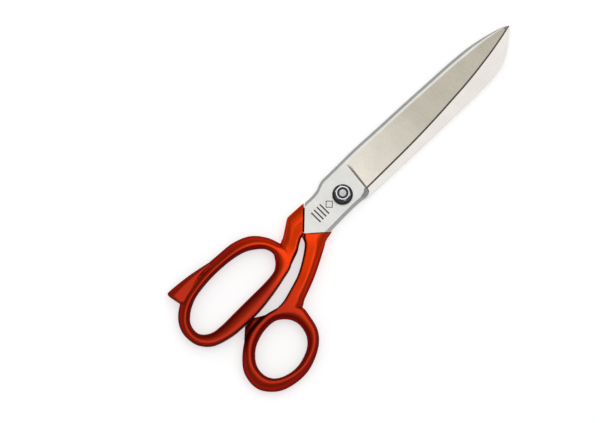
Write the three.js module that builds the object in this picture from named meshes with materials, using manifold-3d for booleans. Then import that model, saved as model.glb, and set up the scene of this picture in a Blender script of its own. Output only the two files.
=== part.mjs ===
// Ten-inch tailor's shears, closed and lying on their side.
//
// Millimetres, +Z up. The origin is on the pivot's axis, at the surface that the shears lie on.
// +Y runs along the blades to their tips, and +X points to the thumb ring.
//
// The shears are two halves that slide on each other at the parting plane. The lower half is a blade and the
// finger bow, and the upper half is a blade and the thumb ring. Each blade is a steel forging, butt-welded at
// the foot of its ricasso to a lacquered handle. A keyed screw, a disc spring and a locking nut hold them.

import * as THREE from "three";
import { mergeVertices } from "three/addons/utils/BufferGeometryUtils.js";
import Module from "manifold-3d";

// ---------------------------------------------------------------- driving dimensions

const MIDDLE = [-1.2, 1.2, 0]; // where the outlines of the blades and handles have their own origin
const PARTING_Z = 6; // the plane on which the halves slide
const SLIDE_GAP = 0.1; // between the halves
const WELD_DROP = 0.15; // how far a handle's weld face stands below its blade's foot
const STOP_DROP = 0.45; // and its shoulder below the other blade's foot

const RICASSO_THICK = 4.45; // one blade at the pivot
const TIP_THICK = 2.4; // and at its tip
const TAPER_FROM = 12; // where the blade starts to thin
const TIP_Y = 137.5;
const SPINE_CHAMFER = 1.8; // wide and deep, along a blade's back
const SPINE_STRIP = 1.3; // left flat between the chamfer and the ground face
const EDGE_BEVEL = 0.9; // the sharpened facet
const EDGE_LAND = 0.1; // left at the very edge
const STEEPEST = 0.21; // fall of the ground face towards the edge, which thins the blade near its tip

const BOW_HALF_HIGH = 6; // the bows, on each side of the parting plane
const WELD_HALF_HIGH = 4.7; // the shanks where they meet the blades
const TANG_TIP_HALF_HIGH = 4; // and the tang's tip

const SCREW_HEAD_R = 5.75;
const SCREW_HEAD_HIGH = 1.4;
const SCREW_NECK = 6; // square, keys the screw to the lower blade
const SCREW_SHOULDER_R = 3; // the upper blade turns on it
const SCREW_SHOULDER_TOP = 10.3;
const SCREW_THREAD_R = 2.45; // an M5 thread, drawn plain
const SCREW_TOP = 18.9;
const RUNNING_FIT = 0.1; // radial, on every bore
const SPRING_R = 5.8;
const SPRING_Z = [10.6, 11.4];
const NUT_ACROSS_FLATS = 8;
const NUT_FLANGE_R = 5.9;
const NUT_Z = [11.5, 18.6];
const INSERT_R = 3.15;
const INSERT_DEEP = 1.8;
const LUG_Z = [2.5, 8.5]; // the lug on the thumb ring

const FAR = 60; // past anything that a cutter has to clear

// ---------------------------------------------------------------- solids

const wasm = await Module();
wasm.setup();

// A closed geometry as a solid with its faces turned outwards.
function solid(geometry) {
  const bare = new THREE.BufferGeometry();
  bare.setAttribute("position", geometry.getAttribute("position"));
  bare.setIndex(geometry.index);
  const merged = mergeVertices(bare, 1e-4);
  const position = merged.getAttribute("position");
  const index = merged.index.array;
  const corners = [];
  let volume = 0;
  for (let i = 0; i < index.length; i += 3) {
    const triangle = [...index.slice(i, i + 3)];
    if (new Set(triangle).size < 3) continue;
    const [a, b, c] = triangle.map((k) => new THREE.Vector3().fromBufferAttribute(position, k));
    volume += a.dot(b.cross(c));
    corners.push(...triangle);
  }
  if (volume < 0) corners.reverse();
  const mesh = new wasm.Mesh({
    numProp: 3,
    vertProperties: new Float32Array(position.array),
    triVerts: new Uint32Array(corners),
  });
  return new wasm.Manifold(mesh);
}

// A solid as a named mesh.
function meshOf(name, body, material) {
  const made = body.getMesh();
  const geometry = new THREE.BufferGeometry();
  geometry.setAttribute("position", new THREE.BufferAttribute(made.vertProperties, 3));
  geometry.setIndex(new THREE.BufferAttribute(made.triVerts, 1));
  geometry.computeVertexNormals();
  const mesh = new THREE.Mesh(geometry, material);
  mesh.name = name;
  return mesh;
}

const vectors = (points) => points.map(([x, y]) => new THREE.Vector2(x, y));
const mirrored = (points) => points.map(([x, y]) => [-x, y]);
const lowered = (points, drop) => points.map(([x, y]) => [x, y - drop]);

// A flat outline between two heights. A chamfer runs round its top and bottom.
function plate(points, low, high, chamfer = 0) {
  const geometry = new THREE.ExtrudeGeometry(new THREE.Shape(vectors(points)), {
    depth: high - low - 2 * chamfer,
    bevelEnabled: chamfer > 0,
    bevelThickness: chamfer,
    bevelSize: chamfer,
    bevelOffset: -chamfer,
    bevelSegments: 1,
  });
  return solid(geometry.translate(0, 0, low + chamfer));
}

// A profile of [radius, height] points turned about the pivot's axis.
function turned(profile, sides = 48) {
  return solid(new THREE.LatheGeometry(vectors(profile), sides).rotateX(Math.PI / 2));
}

// A round bar on the pivot's axis, with its top edge broken by a chamfer.
function bar(radius, low, high, chamfer = 0, sides = 48) {
  return turned(
    [
      [0, low],
      [radius, low],
      [radius, high - chamfer],
      [radius - chamfer, high],
      [0, high],
    ],
    sides,
  );
}

// Rings of points joined into one skin: a closed loop, or an open run with a cap on each end.
function loft(rings, closed) {
  const count = rings[0].length;
  const spans = closed ? rings.length : rings.length - 1;
  const index = [];
  for (let i = 0; i < spans; i++) {
    const here = i * count;
    const next = ((i + 1) % rings.length) * count;
    for (let j = 0; j < count; j++) {
      const k = (j + 1) % count;
      index.push(here + j, next + j, next + k, here + j, next + k, here + k);
    }
  }
  const last = (rings.length - 1) * count;
  for (let j = 1; j < count - 1 && !closed; j++) {
    index.push(0, j, j + 1, last, last + j + 1, last + j);
  }
  const geometry = new THREE.BufferGeometry();
  const positions = rings.flat().flatMap((v) => v.toArray());
  geometry.setAttribute("position", new THREE.Float32BufferAttribute(positions, 3));
  geometry.setIndex(index);
  return solid(geometry);
}

// ---------------------------------------------------------------- blades

// Both blades are drawn in the upper one's view: back on the left, edge on the right, outer face up.
// The lower blade is then turned over about its length.

const UPPER_BACK = [
  [-13.2, 8],
  [-13.2, 20],
  [-12.3, 40],
  [-11.5, 60],
  [-10.5, 80],
  [-9.4, 100],
  [-8.4, 110],
  [-6.8, 119],
  [-4.8, 127],
  [-2.5, 134],
  [-0.8, TIP_Y],
];
const UPPER_EDGE = [
  [8.3, 8],
  [8.4, 30],
  [8.4, 50],
  [7.7, 72],
  [6.9, 85],
  [6.1, 97],
  [4.9, 108],
  [3.4, 119],
  [1.6, 129],
  [-0.2, TIP_Y],
];

// The lower blade is hidden under the upper one near its edge, and shows a broad belly near its tip.
const LOWER_BACK = [
  [-12.1, 8],
  [-12.7, 25],
  [-13.4, 45],
  [-14, 65],
  [-14.4, 83],
  [-14.6, 99],
  [-14.4, 109],
  [-13.4, 116.5],
  [-11.2, 122.2],
  [-8, 127.7],
  [-4, 132.8],
  [-0.1, TIP_Y],
];
const LOWER_EDGE = [
  [8.2, 8],
  [7.6, 30],
  [6.8, 50],
  [6.1, 70],
  [5.4, 90],
  [4.5, 108],
  [3.6, 119],
  [2.3, 129],
  [0.6, TIP_Y],
];

// The ricasso, the flat part round the pivot: its side on the back, and its side on the edge with the heel.
const RICASSO_FRONT = [
  [11, -FAR],
  [11, 2],
  [11.4, 8],
  [11, 10.4],
  [9.9, 11.7],
  [8.3, 12.3],
  [8.3, 20],
];
const UPPER_RICASSO = [
  ...RICASSO_FRONT,
  [-13.2, 20],
  [-13.3, -4],
  [-12.6, -6.5],
  [-11.4, -9.5],
  [-10.9, -13],
  [-11, -FAR],
];
const LOWER_RICASSO = [
  ...RICASSO_FRONT,
  [-12.5, 20],
  [-12.1, 8.5],
  [-11.2, 5.5],
  [-10.6, 2],
  [-10.6, -FAR],
];

// Where a blade ends: the stop face of the other handle's shoulder, then its own weld, then the weld's side.
const FOOT = [
  [-FAR, 32.1],
  [-11, -19.6],
  [1.4, -32.7],
  [9.8, -23],
  [11, -21.6],
  [FAR, -5],
  [FAR, FAR],
  [-FAR, FAR],
];

// The ricasso stops at the plunge line, where the ground face starts.
const PLUNGE = [
  [-FAR, 18.9],
  [FAR, 6.3],
  [FAR, -FAR],
  [-FAR, -FAR],
];

// Where the sections across a blade stand, closest near its tip.
const BLADE_STEPS = [
  ...[8, 20, 30, 40, 50, 60, 70, 80, 90, 98, 106, 111, 116],
  ...[119.5, 123, 126, 129, 132, 134.5, 136.4, TIP_Y],
];

// A smooth line through points, as the value of x at a given y.
function lineThrough(points) {
  const [ys, xs] = [points.map((p) => p[1]), points.map((p) => p[0])];
  const line = new THREE.CubicInterpolant(ys, xs, 1);
  return (y) => line.evaluate(y)[0];
}

// The ground part of a blade, as sections across it from the heel to the tip.
function groundBlade(backPoints, edgePoints) {
  const [back, edge] = [lineThrough(backPoints), lineThrough(edgePoints)];
  const sections = BLADE_STEPS.map((y) => {
    const [left, right] = [back(y), edge(y)];
    const wide = right - left;
    const along = THREE.MathUtils.clamp((y - TAPER_FROM) / (TIP_Y - TAPER_FROM), 0, 1);
    const chamfer = Math.min(SPINE_CHAMFER, wide * 0.13);
    const strip = Math.min(SPINE_STRIP, wide * 0.1);
    const bevel = Math.min(EDGE_BEVEL, wide * 0.3);
    const fall = STEEPEST * (wide - chamfer - strip - bevel);
    const tapered = THREE.MathUtils.lerp(RICASSO_THICK, TIP_THICK, along);
    const top = Math.min(tapered, EDGE_LAND + bevel + fall);
    return [
      [left, 0],
      [right, 0],
      [right, EDGE_LAND],
      [right - bevel, EDGE_LAND + bevel],
      [left + chamfer + strip, top],
      [left + chamfer, top],
      [left, top - chamfer],
    ].map(([x, z]) => new THREE.Vector3(x, y, z));
  });
  return loft(sections, false);
}

// One blade, set on its own side of the parting plane.
function blade(back, edge, ricasso, bore, turnedOver) {
  const flat = plate(ricasso, -RICASSO_THICK, RICASSO_THICK, SPINE_CHAMFER)
    .intersect(plate(FOOT, 0, FAR))
    .intersect(plate(PLUNGE, 0, FAR));
  const turn = turnedOver ? 180 : 0;
  const side = turnedOver ? -1 : 1;
  return flat
    .add(groundBlade(back, edge))
    .rotate([0, turn, 0])
    .translate([0, 0, PARTING_Z + (side * SLIDE_GAP) / 2])
    .translate(MIDDLE)
    .subtract(bore);
}

const roundBore = bar(SCREW_SHOULDER_R + RUNNING_FIT, 0, FAR);
const half = SCREW_NECK / 2 + RUNNING_FIT;
const squareBore = plate(
  [
    [-half, -half],
    [half, -half],
    [half, half],
    [-half, half],
  ],
  0,
  FAR,
);

// ---------------------------------------------------------------- handles

// A handle is drawn as stations along its length. Each is a line across the bar, given by its two ends.

// Round the finger bow, from the hole's edge to the outer edge, starting at the top.
const FINGER_BOW = [
  [[-3.7, -53.1], [-5.3, -46.3]],
  [[-8.5, -54.5], [-13.2, -49.4]],
  [[-12.8, -59.1], [-20.2, -55.5]],
  [[-16.1, -65.2], [-24.2, -64.8]],
  [[-18.1, -75], [-25.4, -75]],
  [[-18.6, -88], [-26, -88]],
  [[-17.4, -100], [-24.3, -102.2]],
  [[-15.1, -106.8], [-20.8, -111.2]],
  [[-11.8, -111.9], [-15.7, -117.9]],
  [[-8.1, -115.1], [-9.6, -121.6]],
  [[-3, -116.2], [-3, -122.4]],
  [[0.9, -114.6], [4, -120.6]],
  [[4, -110], [10.2, -114.6]],
  [[5, -103], [13.7, -103.5]],
  [[5, -94], [14.6, -92]],
  [[5, -82], [14.6, -81]],
  [[5.1, -70], [13.1, -69]],
  [[4.4, -61], [11.2, -59.5]],
  [[2.1, -56.9], [8.6, -50.4]],
  [[-0.6, -54.6], [2, -46]],
];

// Down the finger shank, from its outer side to the side along the gap.
const FINGER_SHANK = [
  [[-11.6, -8], [5, -27]],
  [[-11.9, -20], [1.2, -32.6]],
  [[-12.3, -28.5], [1.4, -34.2]],
  [[-12.4, -32.2], [2, -35.9]],
  [[-11.6, -34], [2.6, -37.2]],
  [[-8.5, -38.7], [4, -39.6]],
  [[-6, -42.6], [5.7, -42.3]],
  [[-4.3, -46], [7.1, -46.3]],
  [[2.5, -49.5], [8.7, -50.9]],
  [[7.3, -56], [10.4, -57.5]],
];

// The tang that the little finger bears on, from inside the bow to its outer edge.
const TANG = [
  [[-23, -83], [-25.9, -83]],
  [[-23.4, -90], [-27.5, -90]],
  [[-22.4, -97], [-28.8, -97]],
  [[-20.8, -104], [-29.8, -105]],
  [[-19.3, -109.6], [-30.2, -111.6]],
  [[-21.2, -110.4], [-28.8, -112.6]],
];

// Round the thumb ring, from the hole's edge to the outer edge, starting at the top.
const THUMB_RING = [
  [[37.2, -71.6], [36.5, -63.7]],
  [[43.6, -73.3], [46.2, -66.5]],
  [[48.8, -78.2], [53.3, -73.4]],
  [[52, -86.6], [58.2, -84.8]],
  [[52.1, -94.2], [58.6, -95.5]],
  [[49.6, -101.2], [55.4, -106]],
  [[45.6, -105.1], [48.2, -113.2]],
  [[40.1, -106.3], [40.5, -115]],
  [[34, -104.5], [31.5, -112.4]],
  [[28, -98.5], [23, -104]],
  [[25, -91], [18.8, -95.5]],
  [[24.3, -85], [18.2, -84]],
  [[25, -79.5], [19.8, -76]],
  [[28.3, -75], [22.5, -70]],
  [[32.4, -72.4], [29.5, -63.6]],
];

// Down the thumb shank, from the side along the gap to its outer side.
const THUMB_SHANK = [
  [[-3.4, -27], [10.5, -9]],
  [[-0.9, -33.3], [12.4, -24.4]],
  [[4.4, -35.6], [15, -30]],
  [[7.4, -38.6], [17.1, -34]],
  [[11.8, -45.2], [21.6, -42.9]],
  [[15.6, -52.4], [24.9, -50.6]],
  [[18.1, -60.4], [27.9, -58.7]],
  [[20.3, -68.5], [30.4, -65]],
  [[20.6, -75.5], [26, -76]],
];

// The lug on the ring that closes against the bow.
const LUG = [
  [15, -94.2],
  [15, -87],
  [16.9, -84],
  [18.7, -80.7],
  [20.3, -76],
  [24, -84],
  [24, -90],
  [21, -101],
];

// Each handle's notch beside the other one's tip, on the side of the parting plane where its own tip isn't.
const THUMB_NOTCH = [
  [1.9, -10],
  [1.9, -32.4],
  [7, -38.7],
  [-10, -45],
  [-10, -10],
];
const FINGER_NOTCH = [
  [-1.9, -10],
  [-1.9, -32.4],
  [4.4, -38.7],
  [12, -40],
  [12, -10],
];

const QUARTER_STEPS = 4;
const ROUND_SHARE = 0.35; // of a bar's width, in each of its two round sides
const FINE_SPANS = 60; // rings round the finger bow
const RING_SPANS = 48; // and round the thumb ring
const SHANK_SPANS = 22;
const TANG_SPANS = 10;
const BOW_SQUARENESS = 2.3; // 2 makes an ellipse's quarters, and more a boxier bar
const TANG_SQUARENESS = 3;
const SHANK_SQUARENESS = 4;

// A bar's section between two points: a flat crown with a round side on each side of it.
function section(from, to, halfHigh, squareness) {
  const quarters = [
    [1 - ROUND_SHARE, ROUND_SHARE, 1],
    [ROUND_SHARE, -ROUND_SHARE, 1],
    [ROUND_SHARE, -ROUND_SHARE, -1],
    [1 - ROUND_SHARE, ROUND_SHARE, -1],
  ];
  const points = quarters.flatMap(([crown, reach, up], quarter) => {
    const steps = Array.from({ length: QUARTER_STEPS + 1 }, (_, i) => i / QUARTER_STEPS);
    if (quarter % 2) steps.reverse();
    return steps.map((share) => {
      const angle = (share * Math.PI) / 2;
      const across = crown + reach * Math.cos(angle) ** (2 / squareness);
      const high = up * halfHigh * Math.sin(angle) ** (2 / squareness);
      return [across, high];
    });
  });
  return points.map(([across, high]) =>
    new THREE.Vector3().lerpVectors(from, to, across).add(new THREE.Vector3(0, 0, PARTING_Z + high)),
  );
}

// A bar through stations, as rings for the loft.
function barThrough(stations, closed, spans, halfHighAt, squareness) {
  const curves = [0, 1].map((side) => {
    const points = stations.map((station) => new THREE.Vector3(...station[side], 0));
    return new THREE.CatmullRomCurve3(points, closed, "catmullrom", 0.5);
  });
  const rings = [];
  for (let i = 0; i < (closed ? spans : spans + 1); i++) {
    const [from, to] = curves.map((curve) => curve.getPoint(i / spans));
    rings.push(section(from, to, halfHighAt(i / spans), squareness));
  }
  return loft(rings, closed);
}

const even = () => BOW_HALF_HIGH;
const risingFromWeld = (share) =>
  THREE.MathUtils.lerp(WELD_HALF_HIGH, BOW_HALF_HIGH, THREE.MathUtils.smoothstep(share, 0.1, 0.7));
const thinning = (share) => THREE.MathUtils.lerp(BOW_HALF_HIGH, TANG_TIP_HALF_HIGH, share);

// Cuts what a handle leaves free: its own blade's foot and the notch on one side of the parting plane, and
// the other blade's foot on the far side.
// side is 1 for the handle of the upper blade and -1 for that of the lower one.
function withoutBlades(body, side, notch) {
  const ownFoot = lowered(side > 0 ? FOOT : mirrored(FOOT), WELD_DROP);
  const otherFoot = lowered(side > 0 ? mirrored(FOOT) : FOOT, STOP_DROP);
  const [below, above] = [PARTING_Z - SLIDE_GAP / 2, PARTING_Z + SLIDE_GAP / 2];
  const [ownLow, ownHigh] = side > 0 ? [below, FAR] : [-FAR, above];
  const [otherLow, otherHigh] = side > 0 ? [-FAR, above] : [below, FAR];
  return body
    .subtract(plate(ownFoot, ownLow, ownHigh))
    .subtract(plate(notch, ownLow, ownHigh))
    .subtract(plate(otherFoot, otherLow, otherHigh))
    .translate(MIDDLE);
}

function fingerHandle() {
  const body = barThrough(FINGER_BOW, true, FINE_SPANS, even, BOW_SQUARENESS)
    .add(barThrough(FINGER_SHANK, false, SHANK_SPANS, risingFromWeld, SHANK_SQUARENESS))
    .add(barThrough(TANG, false, TANG_SPANS, thinning, TANG_SQUARENESS));
  return withoutBlades(body, -1, FINGER_NOTCH);
}

function thumbHandle() {
  const body = barThrough(THUMB_RING, true, RING_SPANS, even, BOW_SQUARENESS)
    .add(barThrough(THUMB_SHANK, false, SHANK_SPANS, risingFromWeld, SHANK_SQUARENESS))
    .add(plate(LUG, ...LUG_Z));
  return withoutBlades(body, 1, THUMB_NOTCH);
}

// ---------------------------------------------------------------- pivot

// The screw: a flat round head, a square neck in the lower blade, a shoulder and a thread.
function pivotScrew() {
  const head = bar(SCREW_HEAD_R, 0, SCREW_HEAD_HIGH, 0.2);
  const side = SCREW_NECK / 2;
  const square = [
    [-side, -side],
    [side, -side],
    [side, side],
    [-side, side],
  ];
  const neck = plate(square, 0.5, PARTING_Z - 1);
  const shoulder = bar(SCREW_SHOULDER_R, 0.5, SCREW_SHOULDER_TOP);
  const thread = bar(SCREW_THREAD_R, 0.5, SCREW_TOP, 0.5);
  return head.add(neck).add(shoulder).add(thread);
}

// A shallow cone of spring steel under the nut.
function discSpring() {
  const [low, high] = SPRING_Z;
  const inner = SCREW_THREAD_R + 2 * RUNNING_FIT;
  const thick = 0.5;
  return turned([
    [inner, high - thick],
    [SPRING_R, low],
    [SPRING_R, low + thick],
    [inner, high],
    [inner, high - thick],
  ]);
}

// A hexagon on a flange, bored for the thread, with a recess for the insert in its end.
function lockNut() {
  const [low, high] = NUT_Z;
  const corner = NUT_ACROSS_FLATS / Math.sqrt(3);
  const hexagon = bar(corner, low, high, 0, 6).intersect(bar(corner, low - 1, high, 0.6));
  const flange = turned([
    [0, low],
    [NUT_FLANGE_R, low],
    [NUT_FLANGE_R, low + 0.6],
    [corner, low + 1.6],
    [0, low + 1.6],
  ]);
  return hexagon
    .add(flange)
    .subtract(bar(SCREW_THREAD_R + RUNNING_FIT, 0, FAR))
    .subtract(bar(INSERT_R + RUNNING_FIT, high - INSERT_DEEP, FAR));
}

// The nylon ring that grips the thread.
function nutInsert() {
  const high = NUT_Z[1] - 0.1;
  const low = NUT_Z[1] - INSERT_DEEP + 0.1;
  return bar(INSERT_R, low, high, 0.2).subtract(bar(SCREW_THREAD_R + RUNNING_FIT, 0, FAR));
}

// ---------------------------------------------------------------- assembly

const steel = (color, roughness) => new THREE.MeshStandardMaterial({ color, roughness, metalness: 1 });
const lacquer = new THREE.MeshStandardMaterial({ color: 0xb02208, roughness: 0.3, metalness: 0.45 });
const nylon = new THREE.MeshStandardMaterial({ color: 0x16171a, roughness: 0.55, metalness: 0 });
const groundSteel = steel(0xd9d6d0, 0.28);
const blackSteel = steel(0x24262a, 0.4);
const brightSteel = steel(0xcfd0d2, 0.3);

const lowerHalf = new THREE.Group();
lowerHalf.add(
  meshOf("lower_blade", blade(LOWER_BACK, LOWER_EDGE, LOWER_RICASSO, squareBore, true), groundSteel),
  meshOf("finger_handle", fingerHandle(), lacquer),
  meshOf("pivot_screw", pivotScrew(), brightSteel),
  meshOf("disc_spring", discSpring(), blackSteel),
);

const upperHalf = new THREE.Group();
upperHalf.add(
  meshOf("upper_blade", blade(UPPER_BACK, UPPER_EDGE, UPPER_RICASSO, roundBore, false), groundSteel),
  meshOf("thumb_handle", thumbHandle(), lacquer),
);

const tensionNut = new THREE.Group();
tensionNut.add(meshOf("lock_nut", lockNut(), blackSteel), meshOf("nut_insert", nutInsert(), nylon));

const shears = new THREE.Group();
shears.add(lowerHalf, upperHalf, tensionNut);

export default shears;
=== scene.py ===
import math

import bmesh
import bpy
import numpy as np
from mathutils import Matrix, Vector


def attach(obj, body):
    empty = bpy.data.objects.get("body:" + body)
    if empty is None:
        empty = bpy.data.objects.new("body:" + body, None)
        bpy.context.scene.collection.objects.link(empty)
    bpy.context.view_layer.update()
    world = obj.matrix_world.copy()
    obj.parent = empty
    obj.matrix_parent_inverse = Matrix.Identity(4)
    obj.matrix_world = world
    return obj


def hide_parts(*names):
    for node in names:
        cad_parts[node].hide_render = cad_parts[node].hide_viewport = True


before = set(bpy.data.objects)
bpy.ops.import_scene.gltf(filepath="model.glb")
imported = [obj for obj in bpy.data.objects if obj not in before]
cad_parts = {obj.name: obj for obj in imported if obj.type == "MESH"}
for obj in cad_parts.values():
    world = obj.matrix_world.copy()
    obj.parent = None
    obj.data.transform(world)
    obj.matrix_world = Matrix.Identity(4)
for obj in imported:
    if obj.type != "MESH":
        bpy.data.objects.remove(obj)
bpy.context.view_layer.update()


# ---------------------------------------------------------------- the lower blade

# The finger half's blade, one forging of hardened carbon steel: the blade itself and the ricasso, the flat
# part round the pivot, which ends in a pointed foot. It is drawn as its maker grinds it, outer face up with
# its back on the left, and then turned over.

MM = 0.001  # lengths are in millimetres until a mesh is made
MIDDLE = Vector((-1.2, 1.2, 0))  # where the outlines of the blades and handles have their own origin
PARTING = 6.0  # the height of the plane on which the two halves slide
SLIDE = 0.05  # each half's distance from it

FOOT_Y = -32.7  # the point of the foot
HEEL_Y = -21.6  # where its weld line ends on the front side
SHOULDER_Y = -19.6  # and on the back
NECK_Y = -4.0  # the lower ricasso's back is straight up to here
CURL_Y = 6.0  # where the ricasso's front starts to turn in towards the cutting edge
PLUNGE_Y = 11.7  # where the ricasso drops to the ground face
EDGE_Y = 12.3  # where the cutting edge starts
TIP_Y = 137.5
BACK_X = -10.6
FRONT_X = 11.0

RICASSO_THICK = 4.45
TIP_THICK = 2.4
TAPER_FROM = 12.0
CHAMFER = 1.8
CURL_CHAMFER = 1.0  # what the front chamfer comes down to at the plunge
STRIP = 1.3  # the flat strip beside the back's chamfer
EDGE_BEVEL = 0.9
CHAMFER_SHARE, STRIP_SHARE, BEVEL_SHARE = 0.13, 0.1, 0.3  # the most of a narrow blade's width that each takes
EDGE_LAND = 0.1  # what is left of the thickness at the edge
STEEPEST = 0.21  # fall of the ground face towards the edge, which thins the blade near its tip
EDGE_BREAK = 0.12  # the smallest facet, where two ground faces meet
HOLLOW = 0.04  # depth of the hollow grind on the outer face
RELIEF = 0.12  # and of the relief on the inner face
RELIEF_FROM = 14.0
RELIEF_FULL = 44.0
FULL_WIDTH = 18.0  # a narrower blade has a shallower hollow and relief
PLUNGE_SLANT = 0.115  # how much the plunge line falls from left to right
PLUNGE_FADE = 6.0  # how far along the blade the rows keep the plunge's slant
PLUNGE_RADIUS = 1.5
ACROSS = 22  # columns of the mesh between a blade's two creases
# Three of these slots hold painted light or shade: the darkened edge bevel, the lightened front chamfer and
# the near-black foot.
RICASSO, GROUND, CHAMFERS, INSIDE, EDGE_PAINTED_DARK, LIT_FRONT_CHAMFER, SCALE = range(7)  # a blade's finishes, in slot order


def through(points, y):
    """x at each y, on a smooth line through points sorted by y."""
    px, py = np.array(points, float).T
    slope = np.gradient(px, py)
    i = np.clip(np.searchsorted(py, y) - 1, 0, len(py) - 2)
    gap = py[i + 1] - py[i]
    t = np.clip((y - py[i]) / gap, 0, 1)
    h = [2 * t**3 - 3 * t**2 + 1, t**3 - 2 * t**2 + t, -2 * t**3 + 3 * t**2, t**3 - t**2]
    return h[0] * px[i] + h[1] * gap * slope[i] + h[2] * px[i + 1] + h[3] * gap * slope[i + 1]


def straight(points, y):
    """x at each y, on straight lines through points sorted by y."""
    px, py = np.array(points, float).T
    return np.interp(y, py, px)


def blend(low, high, share):
    """A smooth step from low to high."""
    share = np.clip(share, 0, 1)
    return low + (high - low) * share * share * (3 - 2 * share)


def blade_rows():
    """Places of the rows of the mesh along the blade, closest where the shape turns."""
    plunge_end = PLUNGE_Y + PLUNGE_RADIUS
    stretches = [
        (FOOT_Y + 0.05, HEEL_Y, 24), (HEEL_Y, SHOULDER_Y, 6), (SHOULDER_Y, -3, 34), (-3, CURL_Y, 16),
        (CURL_Y, PLUNGE_Y - 0.9, 30), (PLUNGE_Y - 0.9, PLUNGE_Y, 8), (PLUNGE_Y, plunge_end, 12),
        (plunge_end, 22, 16), (22, 105, 90), (105, 131, 44), (131, TIP_Y - 0.05, 22),
    ]
    return np.concatenate([np.linspace(a, b, n, endpoint=False) for a, b, n in stretches] + [[TIP_Y - 0.05]])


CURL_CREASE = [(9.2, CURL_Y), (9.0, 8.0), (8.3, 9.8), (7.5, 10.9), (7.4, 12.4)]


def ground_points(rows, left_line, right_line, spine_line):
    """Points of the outer face and of the inner one, by row along the blade and column across it. left_line
    and right_line give x at y along its outline, and spine_line gives the line that its back's chamfer starts
    from."""
    on_ricasso = rows < PLUNGE_Y
    on_foot = rows < HEEL_Y
    near_plunge = np.exp(-(((rows - PLUNGE_Y) / PLUNGE_FADE) ** 2))

    def y_at(x):
        return rows - PLUNGE_SLANT * near_plunge * x

    # A slanted row's y depends on x, so its two ends are found in a few rounds from a first guess.
    left, right = np.full_like(rows, -12.0), np.full_like(rows, 9.0)
    for _ in range(6):
        left, right = left_line(y_at(left)), right_line(y_at(right))
    wide = right - left

    chamfer = np.where(on_ricasso, CHAMFER, np.minimum(CHAMFER, np.maximum(wide, 0.3) * CHAMFER_SHARE))
    spine = spine_line(rows)
    left_crease = np.maximum(spine + chamfer, left + EDGE_BREAK)
    left_drop = np.maximum(chamfer - (left - spine), EDGE_BREAK)
    strip = np.where(on_ricasso, STRIP, np.minimum(STRIP, wide * STRIP_SHARE))

    front = np.where(on_foot, FRONT_X, right)
    curl_share = (rows - CURL_Y) / (PLUNGE_Y - 0.6 - CURL_Y)
    bevel = np.minimum(EDGE_BEVEL, wide * BEVEL_SHARE)
    inset = np.where(on_ricasso, blend(CHAMFER, CURL_CHAMFER, curl_share), bevel)
    curled = np.minimum(through(CURL_CREASE, np.clip(rows, CURL_Y, 12.4)), right - EDGE_BREAK)
    plain = np.minimum(front - inset, right - EDGE_BREAK)
    right_crease = np.where((rows > CURL_Y) & on_ricasso, curled, plain)
    right_drop = np.where(on_foot, np.maximum(CHAMFER - (front - right), EDGE_BREAK), CHAMFER)

    along = np.clip((rows - TAPER_FROM) / (TIP_Y - TAPER_FROM), 0, 1)
    tapered = RICASSO_THICK + (TIP_THICK - RICASSO_THICK) * along
    ridge = EDGE_LAND + bevel + STEEPEST * np.maximum(wide - chamfer - strip - bevel, 0)
    top = np.where(on_ricasso, tapered, np.minimum(tapered, ridge))

    share = np.linspace(0, 1, ACROSS)
    strip_x = np.minimum(left_crease + strip, (left_crease + right_crease) / 2)
    inner_x = strip_x[:, None] + (right_crease - strip_x)[:, None] * share
    xs = np.column_stack([left, left_crease, inner_x, right])
    ys = np.stack([y_at(x) for x in xs.T], axis=1)

    ground = np.sqrt(np.clip(1 - (1 - np.clip((rows - PLUNGE_Y) / PLUNGE_RADIUS, 0, 1)) ** 2, 0, 1))
    fullness = np.clip(wide / FULL_WIDTH, 0, 1)[:, None]
    flat = np.repeat(top[:, None], ACROSS, axis=1)
    bowl = HOLLOW * 4 * share * (1 - share) * fullness
    sloped = top[:, None] + ((EDGE_LAND + bevel) - top)[:, None] * share - bowl
    face = flat + (sloped - flat) * ground[:, None]
    ricasso_edge = top - right_drop
    zs = np.column_stack([top - left_drop, top, face, ricasso_edge + (EDGE_LAND - ricasso_edge) * ground])

    across = (xs - left[:, None]) / wide[:, None]
    started = np.clip((rows - RELIEF_FROM) / (RELIEF_FULL - RELIEF_FROM), 0, 1)[:, None]
    relief = RELIEF * 4 * across * (1 - across) * started * fullness
    return np.stack([xs, ys, zs], axis=2), np.stack([xs, ys, relief], axis=2)


def place(name, data):
    """An object in the scene that holds a mesh, a light or a camera."""
    piece = bpy.data.objects.new(name, data)
    bpy.context.scene.collection.objects.link(piece)
    return piece


def closed_piece(name, bm):
    """The built faces, turned outwards and placed as one piece."""
    bmesh.ops.recalc_face_normals(bm, faces=bm.faces)
    mesh = bpy.data.meshes.new(name)
    bm.to_mesh(mesh)
    bm.free()
    return place(name, mesh)


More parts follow.
